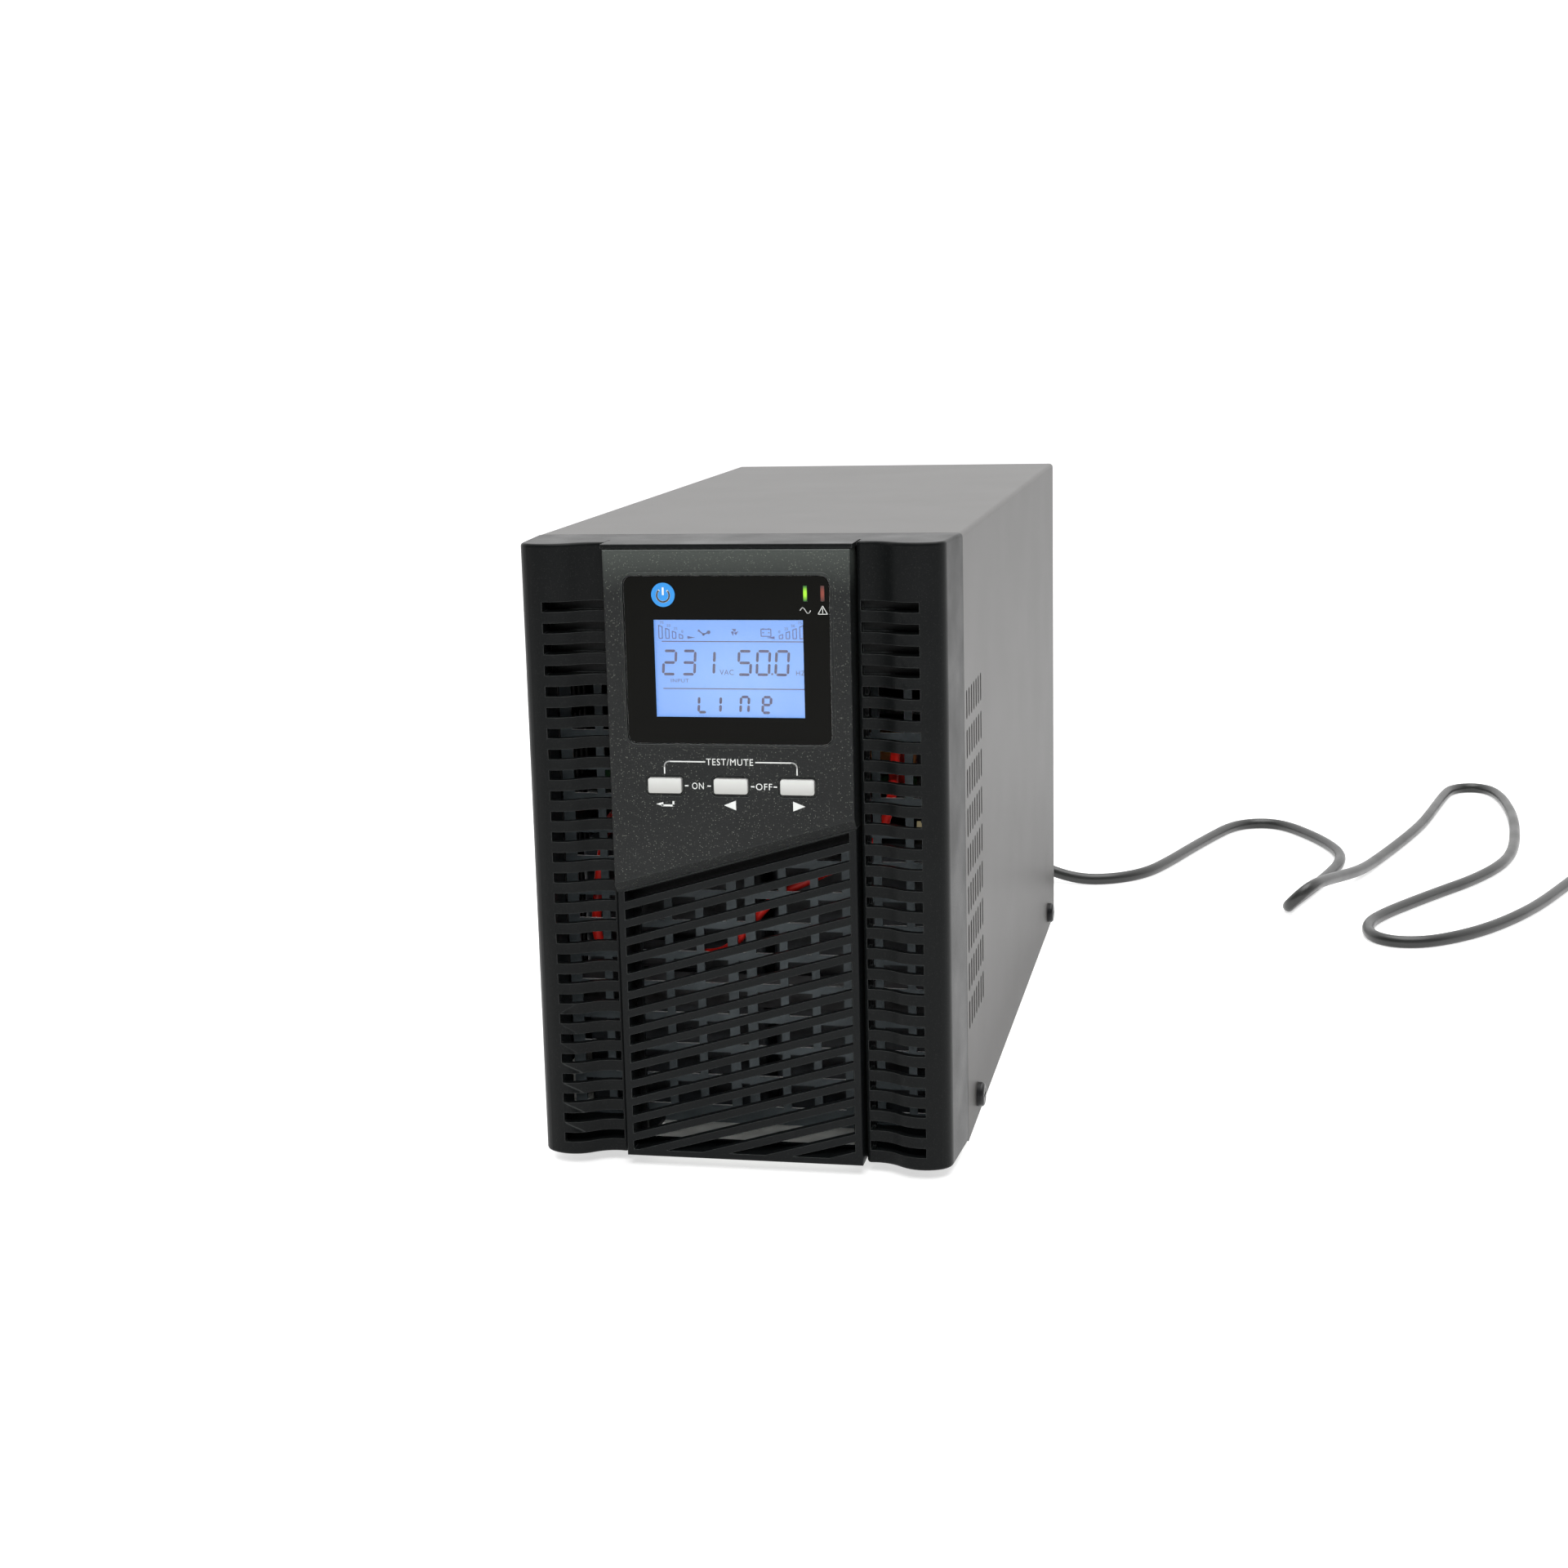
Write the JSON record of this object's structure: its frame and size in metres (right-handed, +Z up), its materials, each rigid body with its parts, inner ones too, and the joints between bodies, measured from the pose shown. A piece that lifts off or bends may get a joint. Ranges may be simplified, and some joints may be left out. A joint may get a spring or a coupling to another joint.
{
  "type": "uninterruptible power supply",
  "caption": "Tower uninterruptible power supply with a display and push buttons on a slotted moulded front, steel cover, rear fan, outlets and a mains lead.",
  "frame": {"origin": "middle of the box that the unit fills without its mains lead, on the surface that it stands on", "axes": "+Z up, +X to the right seen from the front, -Y towards the person in front of the display"},
  "size_m": [0.5051, 0.6755, 0.214],
  "materials": {
    "bezel_plastic": "fine-grained black moulding",
    "panel_plastic": "sparkly grained black moulding",
    "window_plastic": "smoked clear window",
    "display_glass": "lit blue liquid-crystal display",
    "lamp_green": "lit green light guide",
    "lamp_red": "dim red light guide",
    "button_silver": "silver satin paint",
    "switch_plastic": "black switch plastic",
    "circuit_board": "green solder mask",
    "zinc_steel": "zinc-plated steel sheet",
    "cover_paint": "textured grey powder coat",
    "black_screw": "black oxide",
    "bright_screw": "nickel plate",
    "rubber_black": "black rubber",
    "fan_plastic": "black moulding",
    "outlet_plastic": "black socket moulding",
    "reset_red": "black button",
    "battery_case": "grey battery case",
    "tinned_brass": "tinned brass tabs",
    "lead_red": "red insulation",
    "lead_black": "black insulation",
    "heatsink_metal": "bare extruded aluminium",
    "component_black": "black component bodies",
    "ribbon_grey": "grey ribbon",
    "port_metal": "plated shells"
  },
  "bodies": {
    "housing": {"front_bezel": "bezel_plastic", "control_panel": "panel_plastic", "lower_grille": "panel_plastic", "lcd_window": "window_plastic", "lcd_module": "display_glass", "led_pipe_green": "lamp_green", "led_pipe_red": "lamp_red", "tact_switches": "switch_plastic", "display_board": "circuit_board", "front_plate": "zinc_steel", "chassis_base": "zinc_steel", "top_cover": "cover_paint", "cover_screws": "black_screw", "rubber_feet": "rubber_black", "rear_panel": "cover_paint", "fan_frame": "fan_plastic", "fan_guard": "bright_screw", "fan_screws": "bright_screw", "outlet_left": "outlet_plastic", "outlet_middle": "outlet_plastic", "outlet_right": "outlet_plastic", "breaker_body": "outlet_plastic", "serial_port": "port_metal", "usb_port": "port_metal", "surge_jacks": "outlet_plastic", "slot_cover": "cover_paint", "slot_cover_screws": "bright_screw", "battery_left": "battery_case", "battery_right": "battery_case", "battery_terminals": "tinned_brass", "battery_bracket": "zinc_steel", "battery_link": "lead_black", "battery_lead_red": "lead_red", "battery_lead_black": "lead_black", "fuse_holder": "component_black", "board_shelf": "zinc_steel", "board_standoffs": "bright_screw", "main_board": "circuit_board", "heatsinks": "heatsink_metal", "power_transistors": "component_black", "bus_capacitors": "component_black", "power_inductors": "component_black", "power_transformer": "component_black", "relays": "component_black", "display_ribbon": "ribbon_grey", "strain_relief": "rubber_black", "mains_cord": "lead_black", "cord_coil": "lead_black", "coil_tie": "rubber_black", "mains_plug": "rubber_black", "plug_contacts": "bright_screw"},
    "enter_button": {"enter_button": "button_silver", "enter_plunger": "switch_plastic"},
    "left_button": {"left_button": "button_silver", "left_plunger": "switch_plastic"},
    "right_button": {"right_button": "button_silver", "right_plunger": "switch_plastic"},
    "fan_rotor": {"fan_rotor": "fan_plastic"},
    "breaker_button": {"breaker_button": "reset_red"}
  },
  "joints": [
    {"name": "enter_press", "type": "slide", "parent": "housing", "child": "enter_button", "axis": [0, 1, 0], "range_m": [0, 0.0008], "stiffness_N_per_m": 600, "springref_m": -0.0008},
    {"name": "left_press", "type": "slide", "parent": "housing", "child": "left_button", "axis": [0, 1, 0], "range_m": [0, 0.0008], "stiffness_N_per_m": 600, "springref_m": -0.0008},
    {"name": "right_press", "type": "slide", "parent": "housing", "child": "right_button", "axis": [0, 1, 0], "range_m": [0, 0.0008], "stiffness_N_per_m": 600, "springref_m": -0.0008},
    {"name": "fan_spin", "type": "hinge", "parent": "housing", "child": "fan_rotor", "pos_m": [-0.025, 0.1534, 0.164], "axis": [0, 1, 0], "continuous": true},
    {"name": "breaker_pop", "type": "slide", "parent": "housing", "child": "breaker_button", "axis": [0, 1, 0], "range_m": [0, 0.003]}
  ]
}
